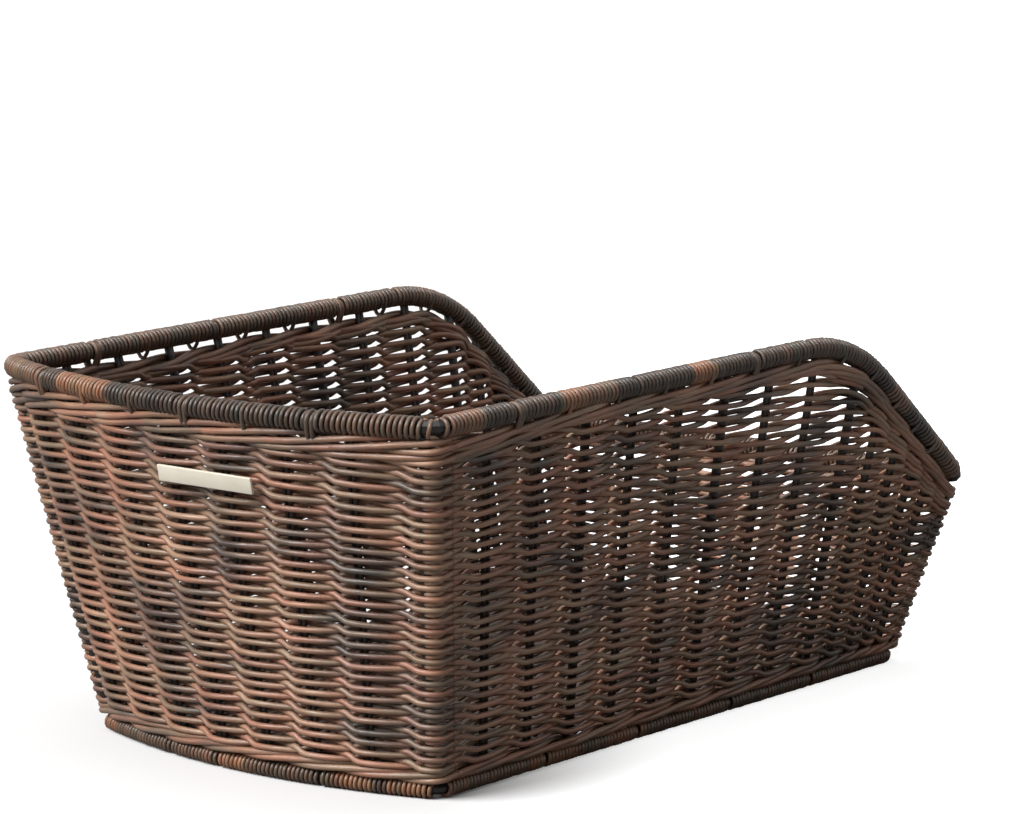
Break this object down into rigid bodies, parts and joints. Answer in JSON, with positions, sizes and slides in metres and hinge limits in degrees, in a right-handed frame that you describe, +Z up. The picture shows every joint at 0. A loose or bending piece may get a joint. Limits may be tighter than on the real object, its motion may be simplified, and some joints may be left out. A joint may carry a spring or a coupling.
{
  "type": "bicycle basket",
  "caption": "Woven open-top basket for a bicycle carrier, with a wrapped wire frame, a bowed high end and a rim that slopes down to a low end.",
  "frame": {"origin": "centre of the bounding box, on the plane that the base ring stands on", "axes": "+X across the width, +Y along the length from the high bowed end to the low end, +Z up"},
  "size_m": [0.3416, 0.5334, 0.2253],
  "materials": {
    "steel_wire": "dark lacquered steel wire",
    "stake_strand": "dark brown synthetic rattan strand, satin",
    "weave_strand": "mottled brown synthetic rattan strand, satin",
    "floor_strand": "dark brown synthetic rattan strand, satin",
    "winding_grey_brown": "grey-brown synthetic rattan strand, satin",
    "winding_tan": "tan synthetic rattan strand, satin",
    "winding_dark": "dark brown synthetic rattan strand, satin",
    "lashing_strand": "brown synthetic rattan strand, satin",
    "badge_cream": "cream enamel, bare of lettering"
  },
  "bodies": {
    "root": {"rim_rod": "steel_wire", "base_ring_rod": "steel_wire", "corner_post_rear_right": "steel_wire", "corner_post_rear_left": "steel_wire", "corner_post_front_right": "steel_wire", "corner_post_front_left": "steel_wire", "steel_hoop_1": "steel_wire", "steel_hoop_2": "steel_wire", "steel_hoop_3": "steel_wire", "cross_stake_1": "stake_strand", "cross_stake_2": "stake_strand", "cross_stake_3": "stake_strand", "cross_stake_4": "stake_strand", "cross_stake_5": "stake_strand", "cross_stake_6": "stake_strand", "cross_stake_7": "stake_strand", "cross_stake_8": "stake_strand", "cross_stake_9": "stake_strand", "cross_stake_10": "stake_strand", "rear_stake_1": "stake_strand", "rear_stake_2": "stake_strand", "rear_stake_3": "stake_strand", "rear_stake_4": "stake_strand", "rear_stake_5": "stake_strand", "rear_stake_6": "stake_strand", "rear_stake_7": "stake_strand", "front_stake_1": "stake_strand", "front_stake_2": "stake_strand", "front_stake_3": "stake_strand", "front_stake_4": "stake_strand", "front_stake_5": "stake_strand", "front_stake_6": "stake_strand", "woven_wall_right": "weave_strand", "woven_wall_left": "weave_strand", "woven_wall_rear": "weave_strand", "woven_wall_front": "weave_strand", "woven_floor": "floor_strand", "rim_winding_rear": "winding_grey_brown", "rim_winding_right_near": "winding_tan", "rim_winding_left_near": "winding_tan", "rim_winding_right_far": "winding_grey_brown", "rim_winding_left_far": "winding_grey_brown", "rim_winding_right_slope": "winding_dark", "rim_winding_left_slope": "winding_dark", "rim_winding_front": "winding_grey_brown", "base_winding_rear": "winding_dark", "base_winding_right": "winding_dark", "base_winding_left": "winding_dark", "base_winding_front": "winding_dark", "lashing_rear_1": "lashing_strand", "lashing_rear_2": "lashing_strand", "lashing_rear_3": "lashing_strand", "lashing_right_1": "lashing_strand", "lashing_left_1": "lashing_strand", "lashing_right_2": "lashing_strand", "lashing_left_2": "lashing_strand", "badge_plate": "badge_cream"}
  },
  "joints": []
}
